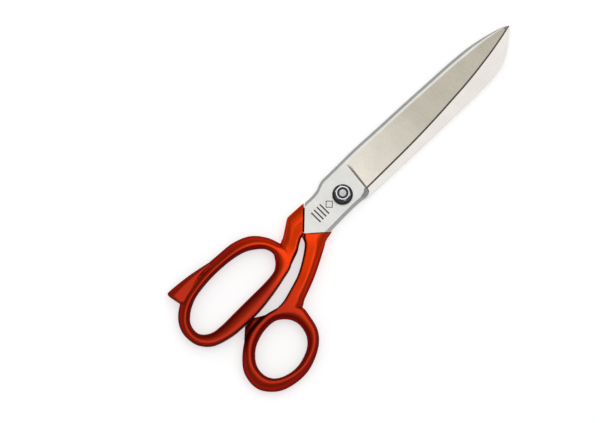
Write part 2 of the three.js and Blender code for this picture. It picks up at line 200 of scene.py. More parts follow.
def forged_blade(name, left_line, right_line, spine_line, turned_over):
    """The blade as a closed mesh, from the lines that ground_points takes."""
    rows = blade_rows()
    upper, lower = ground_points(rows, left_line, right_line, spine_line)
    if turned_over:
        upper, lower = upper * [-1, 1, -1], lower * [-1, 1, -1]
    shift = MIDDLE + Vector((0, 0, PARTING - SLIDE if turned_over else PARTING + SLIDE))
    bm = bmesh.new()
    outer, inner = [[[bm.verts.new((Vector(point) + shift) * MM) for point in row] for row in layer]
                    for layer in (upper, lower)]

    def ground(slot, *corners):
        bm.faces.new(corners).material_index = slot

    last = len(outer[0]) - 2
    for j in range(len(rows) - 1):
        past_plunge = rows[j] >= PLUNGE_Y - 1e-6
        on_foot = rows[j] < HEEL_Y
        for i in range(last + 1):
            # Past the plunge the last column is the cutting bevel, in steel painted dark; before it the front
            # chamfer, in steel painted lighter.
            if i == last:
                slot = EDGE_PAINTED_DARK if past_plunge else LIT_FRONT_CHAMFER
            elif i == 0:
                slot = CHAMFERS
            else:
                slot = GROUND if past_plunge and i > 1 else RICASSO
            ground(slot, outer[j][i], outer[j][i + 1], outer[j + 1][i + 1], outer[j + 1][i])
            # Painted shadow: on the foot the inner face gets near-black steel, for the shadow in the gap by
            # the other handle's shoulder.
            slot = SCALE if on_foot else INSIDE
            ground(slot, inner[j][i], inner[j + 1][i], inner[j + 1][i + 1], inner[j][i + 1])
        # Painted shadow: on the foot the side walls get the same near-black steel.
        for i in (0, last + 1):
            slot = SCALE if on_foot else CHAMFERS
            ground(slot, outer[j][i], outer[j + 1][i], inner[j + 1][i], inner[j][i])
    for j in (0, len(rows) - 1):
        ground(CHAMFERS, *outer[j], *reversed(inner[j]))
    return closed_piece(name, bm)


def apply_modifiers(piece):
    """Makes the shape that the modifiers give the piece's own."""
    bpy.context.view_layer.update()
    evaluated = piece.evaluated_get(bpy.context.evaluated_depsgraph_get())
    made = bpy.data.meshes.new_from_object(evaluated)
    piece.modifiers.clear()
    piece.data = made


def crisp(piece, degrees):
    """Smooth shading, with edges sharper than this left sharp."""
    piece.data.shade_smooth()
    piece.data.set_sharp_from_angle(angle=math.radians(degrees))


def cut_with(piece, cutter):
    """Takes cutter out of piece."""
    boolean = piece.modifiers.new("cut", "BOOLEAN")
    boolean.operation = "DIFFERENCE"
    boolean.solver = "EXACT"
    boolean.object = cutter
    apply_modifiers(piece)
    bpy.data.objects.remove(cutter)


def prism(name, outline, low, high):
    """An outline between two heights, in millimetres."""
    bm = bmesh.new()
    bottom = [bm.verts.new((x * MM, y * MM, low * MM)) for x, y in outline]
    raised = bmesh.ops.extrude_face_region(bm, geom=[bm.faces.new(bottom)])["geom"]
    top = [part for part in raised if isinstance(part, bmesh.types.BMVert)]
    bmesh.ops.translate(bm, vec=(0, 0, (high - low) * MM), verts=top)
    return closed_piece(name, bm)


def square(half):
    return [(-half, -half), (half, -half), (half, half), (-half, half)]


def circle(radius, sides):
    angles = [2 * math.pi * k / sides for k in range(sides)]
    return [(radius * math.cos(a), radius * math.sin(a)) for a in angles]


def node_maker(material):
    """A function that adds a node to the material, with links or values for its inputs."""
    nodes, links = material.node_tree.nodes, material.node_tree.links

    def node(kind, inputs=None, **settings):
        made = nodes.new(kind)
        for key, value in settings.items():
            setattr(made, key, value)
        for key, value in (inputs or {}).items():
            if isinstance(value, bpy.types.NodeSocket):
                links.new(value, made.inputs[key])
            else:
                made.inputs[key].default_value = value
        return made

    return node


def node_kit(name):
    """A new material with its shader, a maker of nodes and its links."""
    material = bpy.data.materials.new(name)
    material.use_nodes = True
    tree = material.node_tree
    return material, tree.nodes["Principled BSDF"], node_maker(material), tree.links


def span(node, value, value_range, result_range=(0.0, 1.0)):
    """Maps a value from one range to another, and holds it at the ends."""
    (from_min, from_max), (to_min, to_max) = value_range, result_range
    return node("ShaderNodeMapRange", {"Value": value, "From Min": from_min, "From Max": from_max,
                                       "To Min": to_min, "To Max": to_max}).outputs["Result"]


def shade(node, share, low, high):
    """Goes from the colour low to high by share. Either end may be another node's colour."""
    low, high = (end if isinstance(end, bpy.types.NodeSocket) else (*end, 1) for end in (low, high))
    return node("ShaderNodeMix", {0: share, 6: low, 7: high}, data_type="RGBA").outputs[2]


def toned(node, colour, tone):
    """The colour, lighter or darker by the factor tone."""
    return node("ShaderNodeVectorMath", {0: colour, "Scale": tone}, operation="SCALE").outputs["Vector"]


def relief_of(node, height, strength, distance=0.00003):
    """The normal of a surface that a height stands out of."""
    bump = node("ShaderNodeBump", {"Height": height, "Strength": strength, "Distance": distance})
    return bump.outputs["Normal"]


TIP_SHADE_FROM, TIP_SHADE_TO = 0.013, 0.066  # in metres, as the nodes measure


def ground_steel(name, base, roughness, grain, grain_depth, painted_tip_shade=None):
    """Steel with the fine parallel lines of a grinding wheel. grain gives their number per metre along X, Y
    and Z. The last argument, if given, is a darker colour that the tip shades into: painted shade."""
    material, shader, node, links = node_kit(name)
    shader.inputs["Metallic"].default_value = 1.0
    where = node("ShaderNodeTexCoord").outputs["Object"]
    along_grain = node("ShaderNodeMapping", {"Vector": where, "Scale": grain}).outputs["Vector"]
    lines = node("ShaderNodeTexNoise", {"Vector": along_grain, "Scale": 1.0, "Detail": 5.0}).outputs["Fac"]
    cloud = node("ShaderNodeTexNoise", {"Vector": where, "Scale": 90.0, "Detail": 3.0}).outputs["Fac"]
    spread = span(node, lines, (0.3, 0.7), (roughness - 0.06, roughness + 0.07))
    links.new(spread, shader.inputs["Roughness"])
    tone = span(node, cloud, (0.35, 0.65), (0.97, 1.03))
    colour = base
    if painted_tip_shade:
        # Painted shade: the colour darkens from the heel towards the tip.
        y = node("ShaderNodeSeparateXYZ", {"Vector": where}).outputs["Y"]
        colour = shade(node, span(node, y, (TIP_SHADE_FROM, TIP_SHADE_TO)), base, painted_tip_shade)
    links.new(toned(node, colour, tone), shader.inputs["Base Color"])
    links.new(relief_of(node, lines, grain_depth), shader.inputs["Normal"])
    return material


RICASSO_STEEL = ((0.60, 0.595, 0.575), 0.34, (350, 5000, 350), 0.35)
satin_ricasso = ground_steel("satin_ricasso", *RICASSO_STEEL)
blade_steels_and_painted_shades = [
    ground_steel("cross_ground_face_painted_shade_to_tip", (0.61, 0.57, 0.51), 0.27, (300, 9000, 300), 0.4, (0.40, 0.37, 0.31)),
    ground_steel("long_ground_chamfer", (0.40, 0.41, 0.395), 0.30, (7000, 260, 7000), 0.35),
    ground_steel("fine_ground_inside", (0.58, 0.55, 0.52), 0.22, (300, 8000, 300), 0.25),
    # Painted shade: the cutting bevel's steel is nearly black, for the dark line along the edge.
    ground_steel("edge_bevel_painted_dark", (0.20, 0.195, 0.18), 0.25, (6000, 300, 6000), 0.3),
    # Painted light: the ricasso's front chamfer is a lighter copy of the back chamfer's steel.
    ground_steel("front_chamfer_painted_lighter", (0.64, 0.645, 0.62), 0.36, (7000, 260, 7000), 0.3),
    # Painted shadow: near-black steel for the shadow in the gap beside the foot.
    ground_steel("painted_gap_shadow", (0.02, 0.02, 0.02), 0.6, (900, 900, 900), 0.4),
]


def fit(piece, node_name, body):
    """Puts the piece in the place of the CAD node that it stands for, on the body that carries it."""
    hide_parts(node_name)
    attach(piece, body)


def finish_blade(piece, ricasso_steel, bore, node_name, body):
    """Cuts the hole at the pivot and gives each ground face its material, painted light and shade among them.
    """
    cut_with(piece, prism("bore", bore, 0, 2 * PARTING))
    crisp(piece, 14)
    for finish in (ricasso_steel, *blade_steels_and_painted_shades):
        piece.data.materials.append(finish)
    fit(piece, node_name, body)


LOWER_BACK = [
    (-12.1, 8), (-12.3, 12), (-12.7, 25), (-13.4, 45), (-14, 65), (-14.4, 83), (-14.6, 99), (-14.4, 109),
    (-13.4, 116.5), (-11.2, 122.2), (-8, 127.7), (-4, 132.8), (-0.1, TIP_Y),
]
LOWER_EDGE = [
    (8.2, 12.3), (7.6, 30), (6.8, 50), (6.1, 70), (5.4, 90), (4.5, 108), (3.6, 119), (2.3, 129), (0.6, TIP_Y),
]
FOOT_LEFT = [(1.4, FOOT_Y), (-11, SHOULDER_Y)]
FOOT_RIGHT = [(1.4, FOOT_Y), (9.8, -23), (FRONT_X, HEEL_Y)]
FRONT = [
    (FRONT_X, HEEL_Y), (FRONT_X, 2), (11.2, 5), (11.4, 8), (11.2, 9.6), (10.7, 10.9), (9.8, 11.8),
    (8.3, EDGE_Y),
]
LOWER_SIDE = [(BACK_X, SHOULDER_Y), (BACK_X, NECK_Y), (BACK_X, 2), (-11.2, 5.5), (-12.1, 8.5)]
LOWER_SIDE_END = 8.5
KEY_HALF = 3.1  # half the square hole that keys the screw


def lower_left(y):
    on_blade = np.where(y < LOWER_SIDE_END, through(LOWER_SIDE, y), through(LOWER_BACK, y))
    return np.where(y < SHOULDER_Y, straight(FOOT_LEFT, y), on_blade)


def lower_spine(y):
    return np.where(y < NECK_Y, BACK_X, lower_left(np.maximum(y, NECK_Y)))


def right_of(edge):
    """The right side of a blade that has this cutting edge."""
    def line(y):
        on_blade = np.where(y < EDGE_Y, through(FRONT, y), through(edge, y))
        return np.where(y < HEEL_Y, straight(FOOT_RIGHT, y), on_blade)
    return line


lower_blade = forged_blade(
    "lower_blade_forging", lower_left, right_of(LOWER_EDGE), lower_spine, turned_over=True)
finish_blade(lower_blade, satin_ricasso, square(KEY_HALF), "lower_blade", "lower_half")


# ---------------------------------------------------------------- the upper blade

# The thumb half's blade, narrower and pointed, of the same steel. Its ricasso is notched on the back behind
# the pivot, carries the etched mark, and turns on the screw's round shoulder.

UPPER_BACK = [
    (-13.2, 8), (-13.2, 20), (-12.3, 40), (-11.5, 60), (-10.5, 80), (-9.4, 100), (-8.4, 110), (-6.8, 119),
    (-4.8, 127), (-2.5, 134), (-0.8, TIP_Y),
]
UPPER_EDGE = [
    (8.3, 12.3), (8.4, 30), (8.4, 50), (7.7, 72), (6.9, 85), (6.1, 97), (4.9, 108), (3.4, 119), (1.6, 129),
    (-0.2, TIP_Y),
]
UPPER_NOTCH = [
    (-11, SHOULDER_Y), (-10.9, -13), (-11.4, -9.5), (-12.6, -6.5), (-13.25, -4), (-13.3, 0), (-13.2, 8),
]
UPPER_NOTCH_END = 8.0
BORE_R = 3.1


def upper_left(y):
    on_blade = np.where(y < UPPER_NOTCH_END, through(UPPER_NOTCH, y), through(UPPER_BACK, y))
    return np.where(y < SHOULDER_Y, straight(FOOT_LEFT, y), on_blade)


def upper_spine(y):
    return upper_left(np.maximum(y, SHOULDER_Y + 0.1))


upper_blade = forged_blade(
    "upper_blade_forging", upper_left, right_of(UPPER_EDGE), upper_spine, turned_over=False)

# The mark is laid out in metres, as its nodes measure.
MARK_X = -0.0016
LOZENGE_Y = -0.0093
LOZENGE_REACH = 0.0025
LOZENGE_LINE = 0.00033  # half the breadth of its line
FIRST_BAR_Y = -0.0132
BAR_SPACING = 0.0023
BAR_REACH = 0.0038
BAR_LINE = 0.00042
BARS_Y = -0.0168
BARS_REACH = 0.0042
ETCHED_ABOVE = 0.0103
ETCH_GREY = (0.05, 0.049, 0.046)


def etch_mark(material):
    """Etches a plain lozenge and four bars, dark in the steel of the ricasso's outer face."""
    node = node_maker(material)
    shader = material.node_tree.nodes["Principled BSDF"]
    where = node("ShaderNodeTexCoord").outputs["Object"]
    x, y, z = node("ShaderNodeSeparateXYZ", {"Vector": where}).outputs

    def work_out(operation, *inputs):
        return node("ShaderNodeMath", dict(enumerate(inputs)), operation=operation).outputs[0]

    aside = work_out("ABSOLUTE", work_out("SUBTRACT", x, MARK_X))
    along = work_out("ABSOLUTE", work_out("SUBTRACT", y, LOZENGE_Y))
    lozenge = work_out("COMPARE", work_out("ADD", aside, along), LOZENGE_REACH, LOZENGE_LINE)
    from_bar = work_out("PINGPONG", work_out("SUBTRACT", y, FIRST_BAR_Y), BAR_SPACING / 2)
    bar = work_out("COMPARE", from_bar, 0.0, BAR_LINE)
    four = work_out("COMPARE", y, BARS_Y, BARS_REACH)
    bars = work_out("MULTIPLY", work_out("MULTIPLY", bar, four), work_out("LESS_THAN", aside, BAR_REACH))
    outside = work_out("GREATER_THAN", z, ETCHED_ABOVE)
    etched = work_out("MULTIPLY", work_out("MAXIMUM", lozenge, bars), outside)
    plain = shader.inputs["Base Color"].links[0].from_socket
    marked = shade(node, etched, plain, ETCH_GREY)
    material.node_tree.links.new(marked, shader.inputs["Base Color"])


etched_ricasso = ground_steel("etched_ricasso", *RICASSO_STEEL)
etch_mark(etched_ricasso)
finish_blade(upper_blade, etched_ricasso, circle(BORE_R, 64), "upper_blade", "upper_half")


# ---------------------------------------------------------------- the finger handle

# A malleable casting: a shank that swells from the weld into a long bow for three fingers, with a tang that
# the hand rests on. It is smoothed, lacquered all over in metallic red and baked.

STOP_DROP = 1.0  # from each handle's shoulder to the other blade's foot
WELD_DROP = 0.06
NOTCH_CLEAR = 0.3  # under each shank's tip, where it crosses the other shank
FAR = 30.0  # past anything that a cutter has to clear
VOXEL = 0.33  # how fine the castings' skin is
BOW_HALF_HIGH = 6.0


def catmull(stations, count, closed):
    """Rows of numbers on a smooth curve through the stations' numbers."""
    rows = np.array([np.concatenate([np.atleast_1d(v).astype(float) for v in s]) for s in stations])
    if closed:
        rows = np.concatenate([rows[-1:], rows, rows[:2]])
    else:
        rows = np.concatenate([2 * rows[:1] - rows[1:2], rows, 2 * rows[-1:] - rows[-2:-1]])
    spans = len(rows) - 3
    at = np.linspace(0, spans, count, endpoint=not closed)
    i = np.minimum(at.astype(int), spans - 1)
    f = (at - i)[:, None]
    a, b, c, d = (rows[i + k] for k in range(4))
    return 0.5 * (2 * b + (c - a) * f + (2 * a - 5 * b + 4 * c - d) * f**2 + (3 * b - a - 3 * c + d) * f**3)


def skinned(name, verts, faces):
    """A closed piece from points and faces, with points that meet made one."""
    mesh = bpy.data.meshes.new(name)
    mesh.from_pydata(verts, [], faces)
    bm = bmesh.new()
    bm.from_mesh(mesh)
    bpy.data.meshes.remove(mesh)
    bmesh.ops.remove_doubles(bm, verts=bm.verts, dist=1e-7)
    bmesh.ops.dissolve_degenerate(bm, edges=bm.edges, dist=1e-8)
    return closed_piece(name, bm)


def rings_joined(ring_count, size, closed):
    """Faces between rings of this many points, in order round or along a piece."""
    spans = ring_count if closed else ring_count - 1
    return [(i * size + j, (i + 1) % ring_count * size + j,
             (i + 1) % ring_count * size + (j + 1) % size, i * size + (j + 1) % size)
            for i in range(spans) for j in range(size)]


def quarter_round(squareness):
    """Points on a rounded corner one unit wide and high. It's an arc at 2, and squarer above that."""
    angles = np.linspace(0, math.pi / 2, 9)
    return [(math.cos(a) ** (2 / squareness), math.sin(a) ** (2 / squareness)) for a in angles]


def swept_bar(stations, count, half_high, closed=False):
    """A bar through stations across it. Each is: a point on its inner side and one on its outer side, then
    the crown's start and end as shares of the way across, the squareness of the inner and the outer round,
    and how much lower the crown's outer end lies. half_high gives half the bar's height from how far along
    it is, as a share."""
    rows = catmull(stations, count, closed)
    verts = []
    for k, (x0, y0, x1, y1, crown0, crown1, square0, square1, fall) in enumerate(rows):
        high = half_high(k / count)
        outer = [(crown1 + (1 - crown1) * u, (high - fall) * z) for u, z in quarter_round(square1)]
        inner = [(crown0 - crown0 * u, high * z) for u, z in reversed(quarter_round(square0))]
        top = outer + inner
        ring = top + [(u, -z) for u, z in reversed(top[1:-1])]
        verts += [((x0 + (x1 - x0) * u) * MM, (y0 + (y1 - y0) * u) * MM, (PARTING + z) * MM)
                  for u, z in ring]
    size = len(verts) // count
    faces = rings_joined(count, size, closed)
    if not closed:
        faces += [tuple(range(size)), tuple(range(len(verts) - 1, len(verts) - size - 1, -1))]
    return skinned("bar", verts, faces)


def cast_in_one(name, parts):
    """Melts parts that run into each other into one skin, with its edges softened as lacquer leaves them."""
    bm = bmesh.new()
    for part in parts:
        bm.from_mesh(part.data)
        bpy.data.objects.remove(part)
    piece = closed_piece(name, bm)
    remesh = piece.modifiers.new("skin", "REMESH")
    remesh.mode = "VOXEL"
    remesh.voxel_size = VOXEL * MM
    smooth = piece.modifiers.new("soften", "SMOOTH")
    smooth.factor = 0.5
    smooth.iterations = 8
    apply_modifiers(piece)
    piece.data.transform(Matrix.Translation(MIDDLE * MM))
    piece.data.shade_smooth()
    return piece


def red_lacquer():
    """Clear lacquer over a red coat full of fine metal flake. Its colour holds painted shade: brightest on the
    shanks, painted a deeper red on the bows and painted darkest on the steep sides."""
    material, shader, node, links = node_kit("red_metallic_lacquer")
    shader.inputs["Metallic"].default_value = 1.0
    shader.inputs["Roughness"].default_value = 0.4
    shader.inputs["Specular Tint"].default_value = (0.3, 0.06, 0.05, 1)
    shader.inputs["Coat Weight"].default_value = 0.06
    shader.inputs["Coat Roughness"].default_value = 0.14
    shader.inputs["Coat IOR"].default_value = 1.35
    where = node("ShaderNodeTexCoord").outputs["Object"]
    cloud = node("ShaderNodeTexNoise", {"Vector": where, "Scale": 55.0, "Detail": 3.0}).outputs["Fac"]
    bright = shade(node, cloud, (0.95, 0.056, 0.004), (0.84, 0.046, 0.003))
    y = node("ShaderNodeSeparateXYZ", {"Vector": where}).outputs["Y"]
    # Painted shade: further down the handle the red darkens, so the bows are painted a deeper red than the
    # shanks.
    bows_painted_darker = shade(node, span(node, y, (-0.070, -0.046)), (0.45, 0.026, 0.008), bright)
    # Painted shade: the less a face points straight up or down, the darker its red, down to near black on
    # steep sides.
    facing = node("ShaderNodeSeparateXYZ", {0: node("ShaderNodeNewGeometry").outputs["Normal"]}).outputs["Z"]
    level = node("ShaderNodeMath", {0: facing}, operation="ABSOLUTE").outputs[0]
    sides_painted_dark = shade(node, span(node, level, (0.25, 0.92)), (0.15, 0.005, 0.006), bows_painted_darker)
    flake = node("ShaderNodeTexVoronoi", {"Vector": where, "Scale": 5500.0}).outputs["Color"]
    colour = toned(node, sides_painted_dark, span(node, flake, (0.0, 1.0), (0.86, 1.12)))
    links.new(colour, shader.inputs["Base Color"])
    peel = node("ShaderNodeTexNoise", {"Vector": where, "Scale": 700.0, "Detail": 2.0}).outputs["Fac"]
    links.new(relief_of(node, peel, 0.10, 0.00004), shader.inputs["Normal"])
    return material


lacquer = red_lacquer()
# The foot's outline, carried on to both sides past the handles.
FOOT = [(-60, 32.1), FOOT_LEFT[1], *FOOT_RIGHT, (60, -5), (60, 60), (-60, 60)]


def free_of_blades(shank, side, notch):
    """Cuts the shank's weld face, the notch under its tip and its shoulder. side is 1 for the upper blade's
    handle and -1 for the lower one's."""
    own = [(side * x, y - WELD_DROP) for x, y in FOOT]
    other = [(-side * x, y - STOP_DROP) for x, y in FOOT]
    for what, outline, near, past in (
        ("weld", own, PARTING - side * SLIDE, PARTING + side * FAR),
        ("notch", notch, PARTING - side * NOTCH_CLEAR, PARTING + side * FAR),
        ("shoulder", other, PARTING + side * SLIDE, PARTING - side * FAR),
    ):
        cut_with(shank, prism(what, outline, min(near, past), max(near, past)))


def finish_part(piece, material, node_name, body):
    """Finishes a piece all over in one material."""
    piece.data.materials.append(material)
    fit(piece, node_name, body)


FINGER_BOW = [
    ((-3.7, -53.1), (-5.3, -46.3), 0.35, 0.45, 1.9, 1.7, 0),
    ((-8.5, -54.5), (-13.2, -49.4), 0.29, 0.37, 1.9, 1.6, 0),
    ((-12.8, -59.1), (-20.2, -55.5), 0.28, 0.36, 1.9, 1.5, 0),
    ((-16.1, -65.2), (-24.2, -64.8), 0.23, 0.31, 1.9, 1.5, 0),
    ((-18.1, -75), (-25.4, -75), 0.21, 0.29, 1.9, 1.4, 0),
    ((-18.6, -88), (-26, -88), 0.21, 0.29, 1.9, 1.4, 0),
    ((-17.4, -100), (-24.3, -102.2), 0.21, 0.29, 1.9, 1.4, 0),
    ((-15.1, -106.8), (-20.8, -111.2), 0.30, 0.38, 1.9, 1.5, 0),
    ((-11.8, -111.9), (-15.7, -117.9), 0.36, 0.44, 1.9, 1.6, 0),
    ((-8.1, -115.1), (-9.6, -121.6), 0.44, 0.52, 1.9, 1.7, 0),
    ((-3, -116.2), (-3, -122.4), 0.56, 0.64, 1.9, 1.9, 0),
    ((0.9, -114.6), (4, -120.6), 0.65, 0.73, 1.9, 2.0, 0),
    ((4, -110), (10.2, -114.6), 0.72, 0.82, 1.9, 2.2, 0.1),
    ((5, -103), (13.7, -103.5), 0.77, 0.89, 1.9, 2.8, 0.2),
    ((5, -94), (14.6, -92), 0.77, 0.91, 1.9, 3.4, 0.3),
    ((5, -82), (14.6, -81), 0.73, 0.91, 1.9, 3.6, 0.3),
    ((5.1, -70), (13.1, -69), 0.70, 0.90, 1.9, 3.6, 0.3),
    ((4.4, -61), (11.2, -59.5), 0.69, 0.89, 1.9, 3.6, 0.2),
    ((2.1, -56.9), (8.6, -50.4), 0.65, 0.85, 1.9, 3.6, 0),
    ((-0.6, -54.6), (2, -46), 0.52, 0.72, 1.9, 3.0, 0),
]
FINGER_SHANK = [
    ((5, -27), (-11.6, -8), 0.05, 0.45, 4.0, 1.6, 1.3),
    ((1.2, -32.6), (-11.9, -20), 0.06, 0.46, 4.0, 1.6, 1.3),
    ((1.4, -34.2), (-12.3, -28.5), 0.12, 0.48, 4.0, 1.6, 1.3),
    ((2, -35.9), (-12.4, -32.2), 0.14, 0.48, 3.4, 1.6, 1.3),
    ((2.6, -37.2), (-11.6, -34), 0.16, 0.48, 3.0, 1.6, 1.3),
    ((4, -39.6), (-8.5, -38.7), 0.17, 0.50, 3.0, 1.6, 1.1),
    ((5.7, -42.3), (-6, -42.6), 0.18, 0.50, 3.0, 1.6, 1),
    ((7.1, -46.3), (-4.3, -46), 0.18, 0.58, 3.0, 1.7, 0.6),
    ((8.7, -50.9), (1.4, -49.3), 0.18, 0.75, 3.0, 1.9, 0.4),
    ((10.4, -57.5), (6.6, -56), 0.15, 0.75, 3.0, 2.0, 0.3),
]
TANG = [
    ((-23, -83), (-25.9, -83), 0.30, 0.40, 2.0, 2.0, 0),
    ((-23.4, -90), (-27.5, -90), 0.36, 0.50, 3.0, 1.7, 0),
    ((-22.4, -97), (-28.8, -97), 0.14, 0.56, 3.0, 1.6, 0),
    ((-20.8, -104), (-29.8, -105), 0.12, 0.58, 3.0, 1.6, 0),
    ((-19.3, -109.6), (-30.2, -111.6), 0.12, 0.58, 3.0, 1.6, 0),
    ((-20.4, -111), (-28.8, -112.8), 0.15, 0.58, 3.0, 2.0, 0.8),
]
FINGER_NOTCH = [(-1.9, -10), (-1.9, -32.4), (4.4, -38.7), (12, -40), (12, -10)]


def bow_high(share):
    return BOW_HALF_HIGH


def finger_shank_high(share):
    """Half the shank's height, which swells from the weld to the bow."""
    return float(blend(4.7, BOW_HALF_HIGH, (share - 0.1) / 0.6))


def tang_high(share):
    return 5.4 - share


finger_shank = swept_bar(FINGER_SHANK, 60, finger_shank_high)
free_of_blades(finger_shank, -1, FINGER_NOTCH)
finger_handle = cast_in_one("finger_handle_casting", [
    swept_bar(FINGER_BOW, 220, bow_high, closed=True), finger_shank, swept_bar(TANG, 40, tang_high)])
finish_part(finger_handle, lacquer, "finger_handle", "lower_half")


# ---------------------------------------------------------------- the thumb handle

# The matching casting on the upper blade: a slimmer shank, a small oval ring, and a lug on the ring that
# closes against the finger bow.

THUMB_RING = [
    ((37.2, -71.6), (36.5, -63.7), 0.57, 0.67, 2.0, 1.8, 0),
    ((43.6, -73.3), (46.2, -66.5), 0.62, 0.70, 2.0, 1.7, 0),
    ((48.8, -78.2), (53.3, -73.4), 0.59, 0.67, 2.0, 1.7, 0),
    ((52, -86.6), (58.2, -84.8), 0.48, 0.56, 2.0, 1.6, 0),
    ((52.1, -94.2), (58.6, -95.5), 0.36, 0.44, 2.0, 1.6, 0),
    ((49.6, -101.2), (55.4, -106), 0.29, 0.37, 2.0, 1.6, 0),
    ((45.6, -105.1), (48.2, -113.2), 0.30, 0.38, 2.0, 1.6, 0),
    ((40.1, -106.3), (40.5, -115), 0.29, 0.37, 2.0, 1.6, 0),
    ((34, -104.5), (31.5, -112.4), 0.36, 0.44, 2.0, 1.6, 0),
    ((28, -98.5), (23, -104), 0.44, 0.52, 2.0, 1.6, 0),
    ((25, -91), (18.8, -95.5), 0.50, 0.58, 2.0, 1.7, 0),
    ((24.3, -85), (18.2, -84), 0.55, 0.65, 2.0, 1.9, 0),
    ((25, -79.5), (19.8, -76), 0.53, 0.67, 2.0, 2.4, 0),
    ((28.3, -75), (22.5, -70), 0.54, 0.78, 2.0, 2.8, 0),
    ((32.4, -72.4), (29.5, -63.6), 0.55, 0.73, 2.0, 2.2, 0),
]
THUMB_SHANK = [
    ((-3.4, -27), (10.5, -9), 0.10, 0.56, 2.6, 1.7, -0.3),
    ((-0.9, -33.3), (12.4, -24.4), 0.12, 0.56, 2.6, 1.7, -0.4),
    ((4.4, -35.6), (15, -30), 0.18, 0.56, 2.6, 1.7, -0.6),
    ((7.4, -38.6), (17.1, -34), 0.22, 0.58, 2.6, 1.7, -0.8),
    ((11.8, -45.2), (21.6, -42.9), 0.22, 0.58, 2.6, 1.7, -0.8),
    ((15.6, -52.4), (24.9, -50.6), 0.22, 0.58, 2.6, 1.7, -0.8),
    ((18.1, -60.4), (27.9, -58.7), 0.20, 0.58, 2.6, 1.8, -0.5),
    ((20.3, -68.5), (30.4, -65), 0.18, 0.60, 3.0, 1.9, -0.1),
    ((20.6, -75.5), (26, -76), 0.20, 0.60, 3.0, 2.0, 0),
]
THUMB_NOTCH = [(1.9, -10), (1.9, -32.4), (7, -38.7), (-10, -45), (-10, -10)]
LUG = [
    (14.75, -94.2), (14.75, -87), (16.7, -84), (18.5, -80.7), (20.3, -76), (24, -84), (24, -90), (21, -101),
]
LUG_LOW, LUG_HIGH = 2.5, 8.5
LUG_AT_BOW = 5.5  # its top slopes down to this height on the side of the bow
LUG_BOW_SIDE = 20.0  # which is left of here


def thumb_shank_high(share):
    """Half the shank's height, lowest at the weld and highest where it runs into the ring."""
    return float(blend(4.5, 5.2, (share - 0.1) / 0.5) + blend(0.0, 0.8, (share - 0.7) / 0.2))


thumb_shank = swept_bar(THUMB_SHANK, 60, thumb_shank_high)
free_of_blades(thumb_shank, 1, THUMB_NOTCH)
lug = prism("lug", LUG, LUG_LOW, LUG_HIGH)
for corner in lug.data.vertices:
    if corner.co.z > PARTING * MM and corner.co.x < LUG_BOW_SIDE * MM:
        corner.co.z = LUG_AT_BOW * MM
thumb_handle = cast_in_one("thumb_handle_casting", [
    swept_bar(THUMB_RING, 180, bow_high, closed=True), thumb_shank, lug])
finish_part(thumb_handle, lacquer, "thumb_handle", "upper_half")


# ---------------------------------------------------------------- the pivot screw

# Turned steel, zinc plated. Its flat head lies under the lower blade, a square neck keys it there, and the
# upper blade turns on the round shoulder. The M5 thread's end stands a little above the nut.

SCREW_HEAD_R, SCREW_HEAD_THICK = 5.75, 1.4
NECK_HALF = 3.0
NECK_TOP = 5.0
SHOULDER_R = 3.0
SHOULDER_TOP = 10.3
THREAD_PITCH = 0.8
THREAD_R = 2.45
THREAD_DEPTH = 0.45
RUNOUT = 0.5  # the length in which the thread fades
SCREW_TOP = 18.9


def rounded(profile, radius, steps=4):
    """A profile with each corner rounded by up to this radius. A point may carry its own radius."""
    made = []
    for k, point in enumerate(profile):
        here = Vector(point[:2])
        size = point[2] if len(point) > 2 else radius
        before = Vector(profile[k - 1][:2]) - here
        after = Vector(profile[(k + 1) % len(profile)][:2]) - here
        reach = min(size, before.length * 0.45, after.length * 0.45)
        if reach < 1e-4:
            made.append(here)
            continue
        start, end = here + before.normalized() * reach, here + after.normalized() * reach
        for step in range(steps + 1):
            t = step / steps
            made.append(start * (1 - t) ** 2 + here * 2 * t * (1 - t) + end * t * t)
    return made


def turned(name, profile, sides=96, reach=None):
    """A closed profile of (radius, height) points turned about the pivot. reach, if given, changes a point's
    radius by its height and angle."""
    verts = []
    for k in range(sides):
        angle = 2 * math.pi * k / sides
        for radius, height in profile:
            r = reach(radius, height, angle) if reach else radius
            verts.append((r * math.cos(angle) * MM, r * math.sin(angle) * MM, height * MM))
    piece = skinned(name, verts, rings_joined(sides, len(profile), True))
    crisp(piece, 32)
    return piece


def turned_metal(name, base, roughness, ring_depth, worn=None):
    """Metal with the fine rings of a lathe, in patchy tone. worn is a second colour, which shows in spots."""
    material, shader, node, links = node_kit(name)
    shader.inputs["Metallic"].default_value = 1.0
    where = node("ShaderNodeTexCoord").outputs["Object"]
    flat = node("ShaderNodeVectorMath", {0: where, 1: (1, 1, 0)}, operation="MULTIPLY").outputs["Vector"]
    radius = node("ShaderNodeVectorMath", {0: flat}, operation="LENGTH").outputs["Value"]
    rings = node("ShaderNodeTexNoise", {"W": radius, "Scale": 9000.0, "Detail": 3.0}, noise_dimensions="1D")
    cloud = node("ShaderNodeTexNoise", {"Vector": where, "Scale": 420.0, "Detail": 4.0}).outputs["Fac"]
    links.new(span(node, cloud, (0.3, 0.7), (roughness - 0.08, roughness + 0.1)), shader.inputs["Roughness"])
    colour = shade(node, span(node, cloud, (0.55, 0.75)), base, worn or [c * 0.9 for c in base])
    links.new(colour, shader.inputs["Base Color"])
    links.new(relief_of(node, rings.outputs["Fac"], ring_depth), shader.inputs["Normal"])
    return material


def thread_cut(radius, height, angle):
    """The thread's groove, on the part of the profile that lies at its crest. It fades out at both ends."""
    if abs(radius - THREAD_R) > 1e-6:
        return radius
    turn = ((height - SHOULDER_TOP) / THREAD_PITCH - angle / (2 * math.pi)) % 1
    fade = min(1, (SCREW_TOP - 0.7 - height) / RUNOUT, (height - SHOULDER_TOP - 0.4) / RUNOUT)
    return radius - THREAD_DEPTH * max(0, fade) * (1 - abs(2 * turn - 1))


